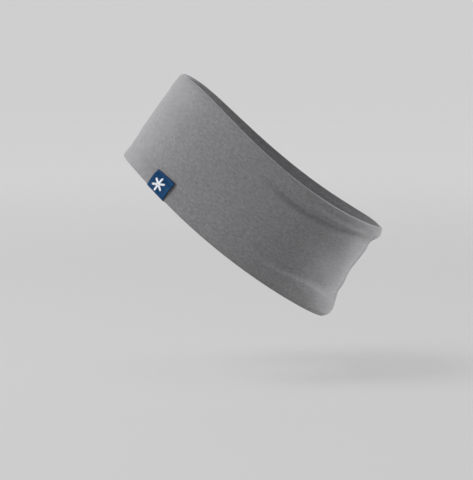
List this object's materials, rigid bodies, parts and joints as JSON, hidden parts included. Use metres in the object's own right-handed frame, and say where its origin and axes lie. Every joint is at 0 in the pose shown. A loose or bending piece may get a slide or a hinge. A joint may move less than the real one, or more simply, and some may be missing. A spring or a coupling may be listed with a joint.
{
  "type": "sports headband",
  "caption": "Wide stretch-jersey sports headband, two plies joined at rolled edges, with a woven loop label over the lower edge and a care label inside.",
  "frame": {"origin": "centre of the head opening, on the band's own ring axis, half way between its upper and lower edges", "axes": "+Z is the wearer's up, -Y is the way the face looks, +X is the wearer's left; the ring axis leans 38 degrees back from +Z towards +Y"},
  "size_m": [0.154, 0.2035, 0.1882],
  "materials": {
    "jersey_outer": "matte heather-grey stretch jersey",
    "jersey_lining": "matte heather-grey stretch jersey, reverse side",
    "seam_thread": "soft textured polyester thread",
    "label_weave": "close woven polyester damask",
    "label_white": "white woven polyester",
    "label_thread": "polyester thread",
    "care_satin": "blank white printed-satin ribbon"
  },
  "bodies": {
    "band": {"outer_panel": "jersey_outer", "lining_panel": "jersey_lining", "upper_edge_seam_thread": "seam_thread", "lower_edge_seam_thread": "seam_thread", "upper_edge_overlock_loops": "seam_thread", "lower_edge_overlock_loops": "seam_thread", "outer_back_seam_thread": "seam_thread", "lining_back_seam_thread": "seam_thread", "loop_label": "label_weave", "label_star": "label_white", "loop_label_stitches": "label_thread", "care_label_thread": "seam_thread"},
    "care_label_flap": {"care_label": "care_satin"}
  },
  "joints": [
    {"name": "care_label_flip", "type": "hinge", "parent": "band", "child": "care_label_flap", "pos_m": [0, 0.07441, -0.05687], "axis": [0, 0.6157, 0.788], "range_deg": [0, 120]}
  ]
}
